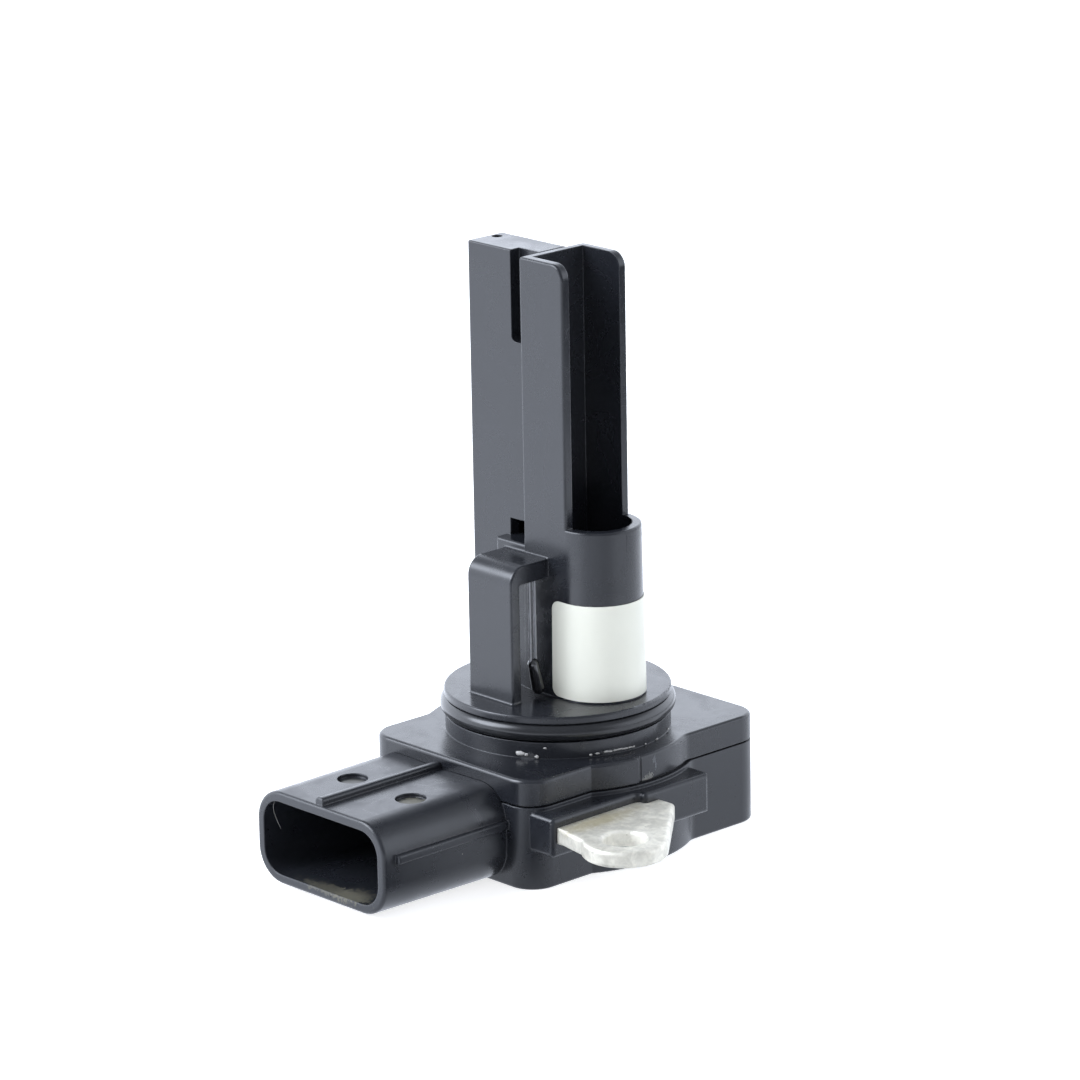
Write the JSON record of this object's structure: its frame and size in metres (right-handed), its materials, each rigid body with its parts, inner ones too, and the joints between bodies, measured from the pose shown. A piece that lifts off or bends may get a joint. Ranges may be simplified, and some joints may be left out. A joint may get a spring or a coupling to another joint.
{
  "type": "mass airflow sensor",
  "caption": "Slot-in mass airflow sensor: open-channel probe and guarded temperature bead on a round sealed plug, over a base with steel ears and a side connector.",
  "frame": {"origin": "on the plug's axis, in the plane of the flange face that seats on the air duct", "axes": "+Z along the plug's axis towards the probe's tip, -X towards the connector's mouth, -Y towards the nearer mounting ear"},
  "size_m": [0.0625, 0.066, 0.078],
  "materials": {
    "housing_plastic": "moulded, satin black with a faint blue cast",
    "probe_plastic": "moulded, satin black with a faint blue cast",
    "cover_plastic": "moulded, satin black",
    "adhesive": "cured silicone bead",
    "seal_rubber": "smooth moulded rubber",
    "plated_steel": "zinc plated, pale satin",
    "tinned_contact": "tinned, bright",
    "lead_wire": "drawn wire, bright",
    "bead_coat": "dipped coat, smooth",
    "board": "coated circuit board",
    "chip_case": "moulded chip case",
    "capacitor_body": "fired ceramic",
    "resistor_body": "glazed ceramic",
    "bond_ribbon": "rolled ribbon",
    "gel": "clear soft gel",
    "carrier": "rigid laminate",
    "element": "polished silicon",
    "sticker": "bare white film, satin"
  },
  "bodies": {
    "root": {"connector_housing": "housing_plastic", "probe_body": "probe_plastic", "bypass_cover": "cover_plastic", "housing_cover": "cover_plastic", "flange_seal": "adhesive", "cover_seal": "adhesive", "plug_o_ring": "seal_rubber", "mounting_plate": "plated_steel", "circuit_board": "board", "control_chip": "chip_case", "chip_capacitors": "capacitor_body", "chip_resistors": "resistor_body", "bond_ribbons": "bond_ribbon", "gel_fill": "gel", "element_carrier": "carrier", "flow_element": "element", "thermistor_bead": "bead_coat", "label": "sticker", "terminal_1": "tinned_contact", "terminal_2": "tinned_contact", "terminal_3": "tinned_contact", "terminal_4": "tinned_contact", "terminal_5": "tinned_contact", "thermistor_lead_1": "lead_wire", "thermistor_lead_2": "lead_wire", "thermistor_pin_1": "tinned_contact", "thermistor_pin_2": "tinned_contact"}
  },
  "joints": []
}
